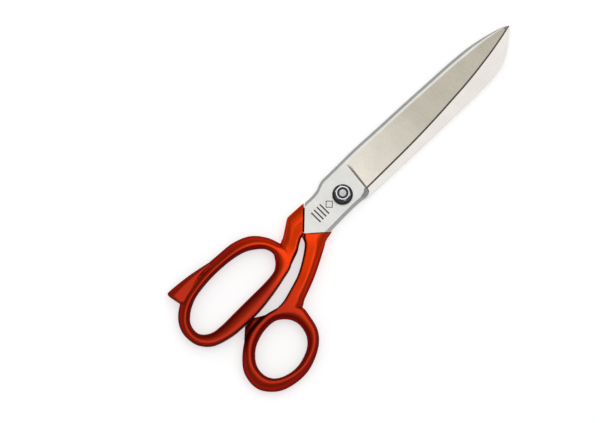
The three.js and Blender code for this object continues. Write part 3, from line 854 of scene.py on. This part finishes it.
screw_profile = rounded([
    (0, 0, 0), (SCREW_HEAD_R, 0), (SCREW_HEAD_R, SCREW_HEAD_THICK), (SHOULDER_R, SCREW_HEAD_THICK, 0),
    (SHOULDER_R, SHOULDER_TOP), (THREAD_R - 0.1, SHOULDER_TOP, 0),
], 0.25)
screw_profile += [Vector((THREAD_R, z)) for z in np.arange(SHOULDER_TOP + 0.1, SCREW_TOP - 0.55, 0.1)]
screw_end = [(2.0, SCREW_TOP - 0.2), (1.85, SCREW_TOP), (0.7, SCREW_TOP), (0, SCREW_TOP - 0.35)]
screw_profile += [Vector(point) for point in screw_end]
pivot_screw = turned("pivot_screw_turned", screw_profile, reach=thread_cut)
bright_plate = turned_metal("zinc_plated_steel", (0.54, 0.54, 0.535), 0.34, 0.5)
finish_part(pivot_screw, bright_plate, "pivot_screw", "lower_half")

neck = prism("pivot_screw_neck", square(NECK_HALF), SCREW_HEAD_THICK - 0.05, NECK_TOP)
bevel = neck.modifiers.new("edges", "BEVEL")
bevel.width = 0.25 * MM
bevel.segments = 2
apply_modifiers(neck)
crisp(neck, 30)
neck.data.materials.append(bright_plate)
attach(neck, "lower_half")


# ---------------------------------------------------------------- the disc spring

# A thin cone of blued spring steel, stamped out and squeezed between the upper blade and the nut, which keeps
# the blades pressed together.

SPRING_BORE_R, SPRING_R = 2.7, 5.8
SPRING_LOW, SPRING_HIGH = 10.6, 11.4
SPRING_THICK = 0.5

spring_profile = rounded([
    (SPRING_BORE_R, SPRING_HIGH - SPRING_THICK), (SPRING_R, SPRING_LOW), (SPRING_R, SPRING_LOW + SPRING_THICK),
    (SPRING_BORE_R, SPRING_HIGH),
], 0.15)
disc_spring = turned("disc_spring_stamped", spring_profile)
blued = turned_metal("blued_steel", (0.06, 0.062, 0.068), 0.36, 0.4, worn=(0.13, 0.13, 0.14))
finish_part(disc_spring, blued, "disc_spring", "lower_half")


# ---------------------------------------------------------------- the lock nut

# A cold-formed M5 flange nut, blackened. Its top face and corners are painted in bright steel: a painted
# highlight where they face the light above. It screws down on the spring and sets how stiffly the blades turn.

NUT_LOW, NUT_HIGH = 11.5, 18.6
FLANGE_R = 5.9
HALF_FLATS = 4.0
HEX_FROM = NUT_LOW + 1.5
CORNER_R = 4.72
NUT_BORE_R = 2.55
NUT_TURN = math.radians(2)
INSERT_R = 3.2  # the pocket in its end that holds the insert
POCKET_FLOOR = NUT_HIGH - 1.5
LIT_TOP_FROM = NUT_HIGH - 0.75
LIT_TOP_FLATNESS = 0.3


def hexagonal(radius, height, angle):
    """The hexagon's flats, on the part of the nut above the flange."""
    if height < HEX_FROM - 1e-6 or radius <= INSERT_R + 1e-6:
        return radius
    sector = math.pi / 3
    within = (angle - NUT_TURN + sector / 2) % sector - sector / 2
    return min(radius, HALF_FLATS / math.cos(within))


nut_profile = rounded([
    (NUT_BORE_R, NUT_LOW), (FLANGE_R, NUT_LOW), (FLANGE_R, NUT_LOW + 0.75), (CORNER_R, HEX_FROM, 0.2),
    (CORNER_R, NUT_HIGH - 0.65, 0), (4.05, NUT_HIGH - 0.12), (3.9, NUT_HIGH), (INSERT_R, NUT_HIGH),
    (INSERT_R, POCKET_FLOOR, 0), (NUT_BORE_R, POCKET_FLOOR, 0),
], 0.18, 5)
lock_nut = turned("lock_nut_formed", nut_profile, 240, hexagonal)
lit_top_steel = turned_metal("painted_lit_top_steel", (0.64, 0.64, 0.65), 0.28, 0.3)
finish_part(lock_nut, blued, "lock_nut", "tension_nut")
lock_nut.data.materials.append(lit_top_steel)
lit_top_slot = len(lock_nut.data.materials) - 1
# Painted highlight: faces near the top that point upwards get the bright steel.
for face in lock_nut.data.polygons:
    if face.center.z / MM > LIT_TOP_FROM and face.normal.z > LIT_TOP_FLATNESS:
        face.material_index = lit_top_slot


# ---------------------------------------------------------------- the nut's insert

# A ring of black nylon, clinched in the nut's end, that the thread cuts its own way through. It keeps the nut
# from working loose.

INSERT_LOW, INSERT_OUTER, INSERT_BORE = NUT_HIGH - 1.4, 3.15, 2.5


def moulded_nylon():
    """Black nylon with the fine texture of its mould."""
    material, shader, node, links = node_kit("black_nylon")
    shader.inputs["Roughness"].default_value = 0.45
    where = node("ShaderNodeTexCoord").outputs["Object"]
    texture = node("ShaderNodeTexNoise", {"Vector": where, "Scale": 2500.0, "Detail": 3.0}).outputs["Fac"]
    tone = span(node, texture, (0.0, 1.0), (0.006, 0.016))
    grey = node("ShaderNodeCombineColor", {0: tone, 1: tone, 2: tone}).outputs[0]
    links.new(grey, shader.inputs["Base Color"])
    links.new(relief_of(node, texture, 0.2), shader.inputs["Normal"])
    return material


insert_profile = rounded([
    (INSERT_BORE, INSERT_LOW), (INSERT_OUTER, INSERT_LOW), (INSERT_OUTER, NUT_HIGH - 0.25),
    (INSERT_BORE, NUT_HIGH - 0.1),
], 0.2)
nut_insert = turned("nut_insert_moulded", insert_profile)
finish_part(nut_insert, moulded_nylon(), "nut_insert", "tension_nut")


# ---------------------------------------------------------------- the table, the lights and the camera

# A plain white table, two soft panels overhead, dim grey surroundings, and a camera that looks down on the
# shears from a little to their thumb-ring side, so that the blades point to the upper right.

TABLE_REACH = 4
table_mesh = bpy.data.meshes.new("table")
table_corners = [(x * TABLE_REACH, y * TABLE_REACH, 0) for x, y in ((-1, -1), (1, -1), (1, 1), (-1, 1))]
table_mesh.from_pydata(table_corners, [], [(0, 1, 2, 3)])
table = place("table", table_mesh)
table.location.z = -0.0002  # just clear of the screw's head
table_paint, table_shader, _, _ = node_kit("white_table")
table_shader.inputs["Base Color"].default_value = (0.93, 0.93, 0.93, 1)
table_shader.inputs["Roughness"].default_value = 0.6
table_shader.inputs["Specular IOR Level"].default_value = 0.2
table_shader.inputs["Emission Color"].default_value = (1, 1, 1, 1)
table_shader.inputs["Emission Strength"].default_value = 0.48
table_mesh.materials.append(table_paint)

IMAGE_RIGHT = Vector((1, 1, 0)).normalized()
IMAGE_UP = Vector((-1, 1, 0)).normalized()
VIEW_CENTRE = Vector((-0.01093, -0.02367, 0.006))
PANEL_DISTANCE = 2.6


def soft_light(name, width, brightness, lean_up, lean_right):
    """A square panel that faces the shears. It leans from the vertical by degrees towards the top of the view
    and towards its right."""
    panel = bpy.data.lights.new(name, "AREA")
    panel.shape = "SQUARE"
    panel.size = width
    panel.energy = brightness * math.pi * width**2
    up, aside = math.tan(math.radians(lean_up)), math.tan(math.radians(lean_right))
    towards = Vector((0, 0, 1)) + IMAGE_UP * up + IMAGE_RIGHT * aside
    light = place(name, panel)
    light.location = VIEW_CENTRE + towards.normalized() * PANEL_DISTANCE
    light.rotation_euler = towards.to_track_quat("Z", "Y").to_euler()


soft_light("key", width=2.1, brightness=0.85, lean_up=2, lean_right=6)
soft_light("overhead", width=4.4, brightness=0.35, lean_up=4, lean_right=0)

world = bpy.data.worlds.new("studio")
bpy.context.scene.world = world
world.use_nodes = True
world.node_tree.nodes["Background"].inputs["Color"].default_value = (0.30, 0.30, 0.30, 1)

TILT = math.radians(8)
DISTANCE = 2.0
VIEW_WIDTH = 0.34499
ROLL = -0.0026
SENSOR = 36

camera_data = bpy.data.cameras.new("camera")
camera_data.sensor_width = SENSOR
camera_data.lens = SENSOR * DISTANCE / VIEW_WIDTH
camera = place("camera", camera_data)
right = IMAGE_RIGHT * math.cos(ROLL) + IMAGE_UP * math.sin(ROLL)
level_up = IMAGE_UP * math.cos(ROLL) - IMAGE_RIGHT * math.sin(ROLL)
back = Vector((0, 0, 1)) * math.cos(TILT) - level_up * math.sin(TILT)
camera_axes = Matrix((right, back.cross(right), back)).transposed().to_4x4()
camera.matrix_world = Matrix.Translation(VIEW_CENTRE + back * DISTANCE) @ camera_axes
bpy.context.scene.camera = camera
bpy.context.scene.view_settings.view_transform = "Standard"
